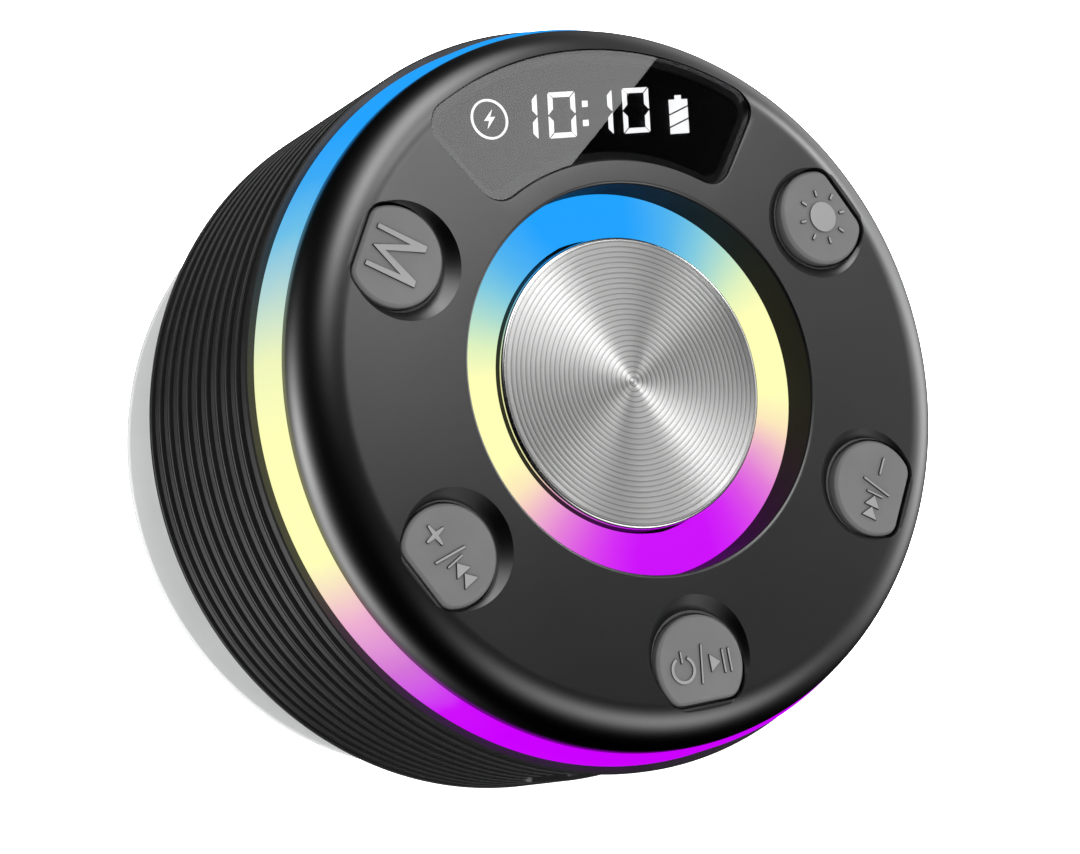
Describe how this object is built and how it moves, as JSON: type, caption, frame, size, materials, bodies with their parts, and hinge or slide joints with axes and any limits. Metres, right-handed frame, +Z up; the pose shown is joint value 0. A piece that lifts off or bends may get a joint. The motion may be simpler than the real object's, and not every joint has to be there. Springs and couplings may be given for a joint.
{
  "type": "shower speaker",
  "caption": "Round wall speaker on a suction cup, with a clock display, press keys, a turned metal driver disc, a lit ring and a lit side band.",
  "frame": {"origin": "centre of the suction cup's contact plane, on the wall", "axes": "+Y along the device's axis into the wall, -Y out of the face, +Z up with the display at the top, +X to the right as seen from the front"},
  "size_m": [0.0952, 0.0642, 0.0952],
  "materials": {
    "bezel": "satin gunmetal",
    "keys": "satin",
    "window": "high gloss, smoked",
    "dark_plastic": "matte",
    "display_light": "lit white",
    "silicone": "matte",
    "circuit_board": "solder mask",
    "white_board": "white solder mask",
    "light_guide": "milky, lit from behind",
    "band_guide": "milky, lit from behind",
    "led": "small packages",
    "white_plastic": "matte",
    "turned_metal": "turned",
    "cone": "matte",
    "former": "amber film",
    "copper": "enamelled copper wire",
    "spider_cloth": "resin-treated cloth",
    "pressed_steel": "black paint",
    "zinc_steel": "zinc plated",
    "ferrite": "sintered",
    "screw_steel": "nickel plated",
    "housing": "fine texture",
    "socket_steel": "bright",
    "chips": "moulded",
    "battery": "laminate pouch",
    "foam": "foam",
    "brass": "turned",
    "cup": "translucent"
  },
  "bodies": {
    "speaker": {"front_bezel": "bezel", "display_window": "window", "display_block": "dark_plastic", "clock_digits": "display_light", "charge_icon": "display_light", "battery_icon": "display_light", "keypad_mat": "silicone", "front_board": "circuit_board", "key_switches": "chips", "light_ring": "light_guide", "ring_carrier": "white_plastic", "ring_board": "white_board", "ring_leds": "led", "cone_surround": "silicone", "spider": "spider_cloth", "driver_basket": "pressed_steel", "top_plate": "zinc_steel", "ring_magnet": "ferrite", "yoke": "zinc_steel", "driver_gasket": "foam", "driver_screws": "screw_steel", "side_light_band": "band_guide", "side_led_strip": "white_board", "side_leds": "led", "front_seal": "silicone", "main_housing": "housing", "rib_sleeve": "silicone", "usb_socket": "socket_steel", "usb_tongue": "dark_plastic", "main_board": "circuit_board", "board_chips": "chips", "board_screws": "screw_steel", "battery_cell": "battery", "battery_pads": "foam", "bezel_screws": "screw_steel", "rear_cover": "housing", "rear_seal": "silicone", "rear_screws": "screw_steel", "cup_insert": "brass", "cup_stud": "screw_steel", "suction_cup": "cup"},
    "mode_key": {"key_mode": "keys"},
    "light_key": {"key_light": "keys"},
    "next_key": {"key_next": "keys"},
    "power_key": {"key_power": "keys"},
    "prev_key": {"key_prev": "keys"},
    "diaphragm": {"metal_disc": "turned_metal", "disc_carrier": "dark_plastic", "speaker_cone": "cone", "coil_former": "former", "voice_coil": "copper"},
    "cover_flap": {"port_cover": "silicone"}
  },
  "joints": [
    {"name": "mode_key_press", "type": "slide", "parent": "speaker", "child": "mode_key", "axis": [0, 1, 0], "range_m": [0, 0.0006], "stiffness_N_per_m": 2000, "deforming": ["keypad_mat"]},
    {"name": "light_key_press", "type": "slide", "parent": "speaker", "child": "light_key", "axis": [0, 1, 0], "range_m": [0, 0.0006], "stiffness_N_per_m": 2000, "deforming": ["keypad_mat"]},
    {"name": "next_key_press", "type": "slide", "parent": "speaker", "child": "next_key", "axis": [0, 1, 0], "range_m": [0, 0.0006], "stiffness_N_per_m": 2000, "deforming": ["keypad_mat"]},
    {"name": "power_key_press", "type": "slide", "parent": "speaker", "child": "power_key", "axis": [0, 1, 0], "range_m": [0, 0.0006], "stiffness_N_per_m": 2000, "deforming": ["keypad_mat"]},
    {"name": "prev_key_press", "type": "slide", "parent": "speaker", "child": "prev_key", "axis": [0, 1, 0], "range_m": [0, 0.0006], "stiffness_N_per_m": 2000, "deforming": ["keypad_mat"]},
    {"name": "diaphragm_travel", "type": "slide", "parent": "speaker", "child": "diaphragm", "axis": [0, 1, 0], "range_m": [-0.001, 0.001], "stiffness_N_per_m": 1500, "deforming": ["cone_surround", "spider"]},
    {"name": "port_cover_hinge", "type": "hinge", "parent": "speaker", "child": "cover_flap", "pos_m": [0, -0.0376, -0.0456], "axis": [1, 0, 0], "range_deg": [0, 100], "stiffness_Nm_per_rad": 0.01}
  ]
}
